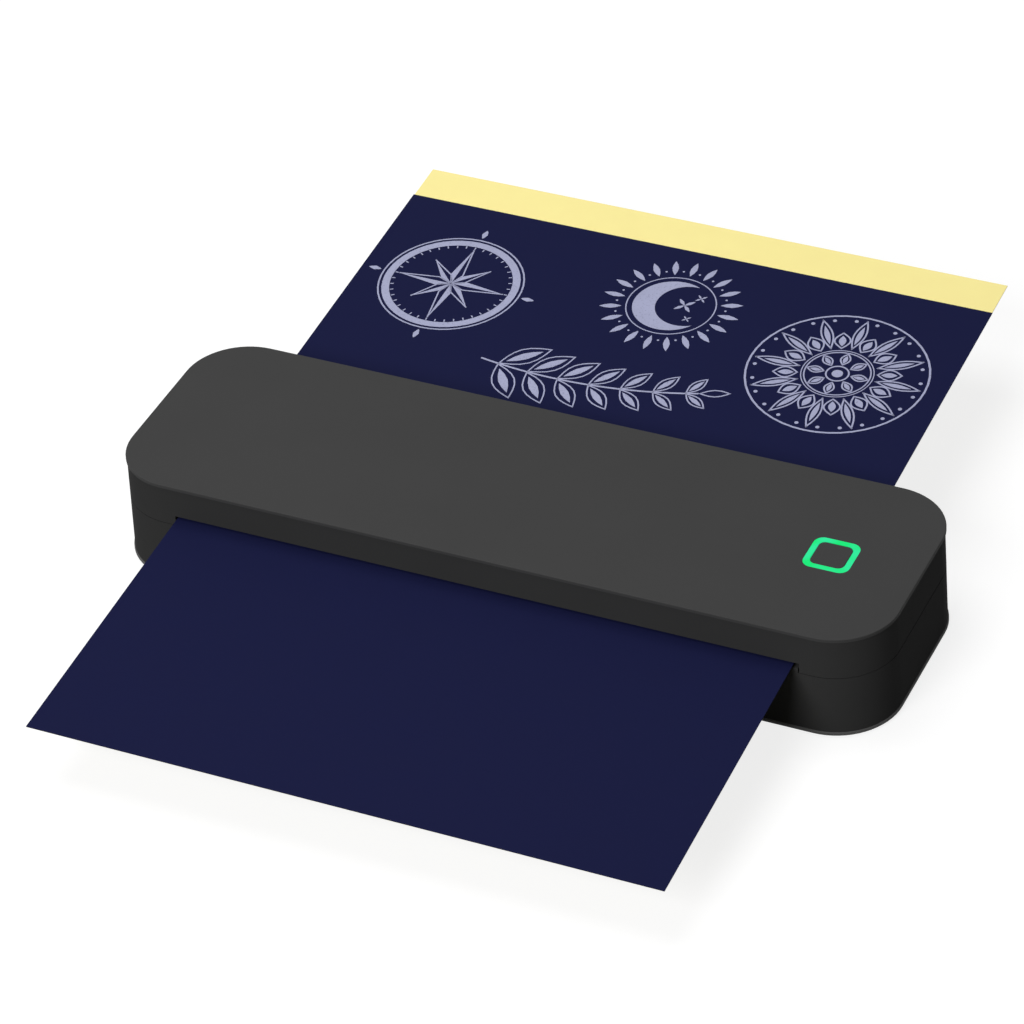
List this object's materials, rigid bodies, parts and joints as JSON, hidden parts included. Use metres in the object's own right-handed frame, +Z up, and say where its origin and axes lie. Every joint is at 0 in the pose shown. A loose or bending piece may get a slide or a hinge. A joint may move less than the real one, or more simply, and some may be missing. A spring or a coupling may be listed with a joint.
{
  "type": "thermal stencil copier",
  "caption": "Portable thermal stencil copier with a hinged top cover, a lit power button and a transfer sheet fed through its slots.",
  "frame": {"origin": "on the surface the copier stands on, under the middle of the casing; the claim names the underside of the bottom plate, 0.8 mm above it", "axes": "+X to the operator's right along the casing, +Y to the rear where the sheet goes in, +Z up"},
  "size_m": [0.2638, 0.2964, 0.038],
  "materials": {
    "casing_black": "fine moulded texture",
    "panel_black": "smooth satin",
    "feet_rubber": "matte",
    "screw_steel": "machined",
    "plate_steel": "pressed and plated",
    "bush_polymer": "self-lubricating, satin",
    "motor_can": "rolled, satin",
    "shaft_steel": "ground",
    "guide_black": "smooth",
    "board_green": "solder mask",
    "chips": "moulded",
    "usb_shell": "bright plated",
    "cell_wrap": "shrink film",
    "cradle": "smooth",
    "magnet": "nickel plated",
    "platen_rubber": "ground, matte",
    "gear_white": "moulded acetal",
    "carbon_navy": "waxy coated",
    "backing_yellow": "uncoated",
    "ring_green": "diffuse and lit",
    "led": "clear lens",
    "switch": "moulded",
    "ceramic_white": "ground, with a glazed line",
    "sink_alu": "extruded",
    "connector_white": "moulded",
    "spring_steel": "drawn wire"
  },
  "bodies": {
    "base": {"base_shell": "casing_black", "bottom_plate": "casing_black", "rubber_feet": "feet_rubber", "base_screws": "screw_steel", "board_screws": "screw_steel", "charge_screws": "screw_steel", "side_plate_left": "plate_steel", "side_plate_right": "plate_steel", "plate_screws": "screw_steel", "bush_left": "bush_polymer", "bush_right": "bush_polymer", "stepper_motor": "motor_can", "motor_screws": "screw_steel", "idler_axle": "shaft_steel", "idler_clip": "spring_steel", "lower_guide": "guide_black", "guide_screws_lower": "screw_steel", "paper_sensors": "chips", "main_board": "board_green", "board_parts": "chips", "charge_board": "board_green", "usb_socket": "usb_shell", "battery_cells": "cell_wrap", "battery_cradle": "cradle", "base_magnets": "magnet"},
    "platen": {"platen_shaft": "shaft_steel", "platen_rubber": "platen_rubber", "platen_gear": "gear_white", "shaft_clips": "spring_steel"},
    "idler": {"idler_gear": "gear_white"},
    "motor_rotor": {"motor_shaft": "shaft_steel", "motor_pinion": "gear_white"},
    "sheet": {"transfer_sheet": "carbon_navy", "backing_sheet": "backing_yellow"},
    "cover": {"top_cover": "casing_black", "top_panel": "panel_black", "hinge_pins": "shaft_steel", "cover_magnets": "magnet", "light_ring": "ring_green", "switch_board": "board_green", "tact_switch": "switch", "ring_leds": "led", "switch_screws": "screw_steel", "upper_guide": "guide_black", "guide_screws_upper": "screw_steel", "head_brackets": "plate_steel", "bracket_screws": "screw_steel", "head_springs": "spring_steel"},
    "head": {"print_head": "ceramic_white", "heat_sink": "sink_alu", "head_pins": "shaft_steel", "head_connector": "connector_white"},
    "button": {"power_button": "panel_black"}
  },
  "joints": [
    {"name": "cover_hinge", "type": "hinge", "parent": "base", "child": "cover", "pos_m": [0, 0.0377, 0.0342], "axis": [-1, 0, 0], "range_deg": [0, 75]},
    {"name": "button_press", "type": "slide", "parent": "cover", "child": "button", "axis": [0, 0, -1], "range_m": [0, 0.0004], "stiffness_N_per_m": 800, "springref_m": -0.0005},
    {"name": "head_pivot", "type": "hinge", "parent": "cover", "child": "head", "pos_m": [0, -0.03273, 0.03029], "axis": [1, 0, 0], "range_deg": [0, 3], "stiffness_Nm_per_rad": 2, "springref_deg": -3.44, "deforming": ["head_springs"]},
    {"name": "sheet_feed", "type": "slide", "parent": "base", "child": "sheet", "axis": [0, -0.9982, -0.0599], "range_m": [-0.13, 0.14]},
    {"name": "platen_spin", "type": "hinge", "parent": "base", "child": "platen", "pos_m": [0, -0.01855, 0.01927], "axis": [1, 0, 0], "continuous": true},
    {"name": "idler_spin", "type": "hinge", "parent": "base", "child": "idler", "pos_m": [0, -0.00345, 0.01369], "axis": [1, 0, 0], "continuous": true},
    {"name": "motor_spin", "type": "hinge", "parent": "base", "child": "motor_rotor", "pos_m": [0, 0.00973, 0.01185], "axis": [1, 0, 0], "continuous": true}
  ],
  "couplings": [
    {"joint": "platen_spin", "follows": "sheet_feed", "rad_per_m": 141.84},
    {"joint": "idler_spin", "follows": "sheet_feed", "rad_per_m": -109.11},
    {"joint": "motor_spin", "follows": "sheet_feed", "rad_per_m": 236.41}
  ]
}
